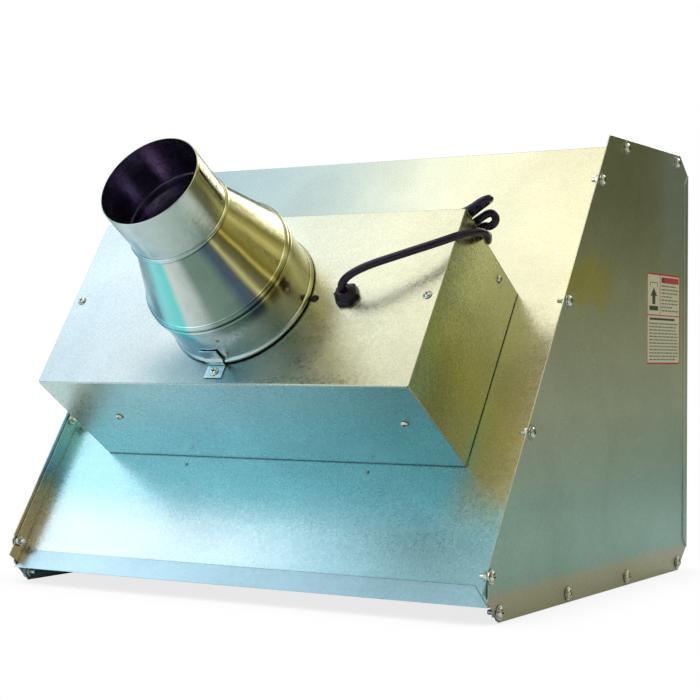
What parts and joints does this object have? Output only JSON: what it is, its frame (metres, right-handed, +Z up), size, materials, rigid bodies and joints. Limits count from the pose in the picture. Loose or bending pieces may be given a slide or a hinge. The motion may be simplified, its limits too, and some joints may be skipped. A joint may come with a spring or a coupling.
{
  "type": "bench-top fume booth with exhaust fan",
  "caption": "Galvanised sheet-metal bench booth, open at the front, with a sloping back, a boxed in-line exhaust fan, a tapered duct outlet, a lift-out filter and a mains cord.",
  "frame": {"origin": "on the bench plane, under the middle of the whole booth with its duct", "axes": "+Z up, +Y to the rear (the exhaust side), -Y is the open front where the operator stands, +X to the operator's right"},
  "size_m": [0.5676, 0.6746, 0.471],
  "materials": {
    "galvanised_sheet": "satin galvanised sheet with fine spangle",
    "duct_metal": "bright rolled galvanised duct metal",
    "zinc_hardware": "bright zinc plate",
    "motor_steel": "satin",
    "laminations": "oiled electrical steel",
    "copper_winding": "enamelled wire",
    "bronze_bush": "sintered",
    "impeller_metal": "stamped",
    "black_plastic": "moulded",
    "cord_jacket": "satin vinyl",
    "lead_jacket": "satin",
    "plug_brass": "plated",
    "filter_card": "plain",
    "filter_fibre": "spun fibre pad",
    "foam_strip": "closed-cell foam",
    "label_film": "printed film with plain blocks"
  },
  "bodies": {
    "booth": {"back_panel": "galvanised_sheet", "box_screws": "zinc_hardware", "box_stay_left": "galvanised_sheet", "box_stay_right": "galvanised_sheet", "bracket_screws": "zinc_hardware", "cord_plug": "black_plastic", "cord_tie": "black_plastic", "fan_box_cover": "galvanised_sheet", "fan_box_end_left": "galvanised_sheet", "fan_box_end_right": "galvanised_sheet", "fan_tube": "duct_metal", "filter_gasket": "foam_strip", "filter_ledge": "galvanised_sheet", "filter_rail_left": "galvanised_sheet", "filter_rail_right": "galvanised_sheet", "floor_panel": "galvanised_sheet", "hole_plug": "black_plastic", "lead_connector": "black_plastic", "lead_grommet": "lead_jacket", "motor_bushes": "bronze_bush", "motor_end_cover": "motor_steel", "motor_housing": "motor_steel", "motor_leads": "lead_jacket", "motor_nut": "zinc_hardware", "motor_stator": "laminations", "motor_strap_inner": "zinc_hardware", "motor_strap_outer": "zinc_hardware", "motor_windings": "copper_winding", "outlet_pipe": "duct_metal", "panel_nuts_left": "zinc_hardware", "panel_nuts_right": "zinc_hardware", "panel_screws_left": "zinc_hardware", "panel_screws_right": "zinc_hardware", "plug_pins": "plug_brass", "power_cord": "cord_jacket", "rail_rivets": "zinc_hardware", "reducer_cone": "duct_metal", "side_label": "label_film", "side_panel_left": "galvanised_sheet", "side_panel_right": "galvanised_sheet", "strain_relief": "black_plastic", "strain_relief_nut": "black_plastic", "top_panel": "galvanised_sheet", "tube_bracket_lower": "duct_metal", "tube_bracket_upper": "duct_metal"},
    "rotor": {"impeller": "impeller_metal", "impeller_nut": "zinc_hardware", "motor_rotor": "laminations", "motor_shaft": "zinc_hardware"},
    "filter": {"filter_frame": "filter_card", "filter_media": "filter_fibre"}
  },
  "joints": [
    {"name": "rotor_spin", "type": "hinge", "parent": "booth", "child": "rotor", "pos_m": [0, 0.15598, 0.2966], "axis": [0, 0.8317, 0.5552], "continuous": true},
    {"name": "filter_slide", "type": "slide", "parent": "booth", "child": "filter", "axis": [0, -0.5552, 0.8317], "range_m": [0, 0.15]}
  ]
}
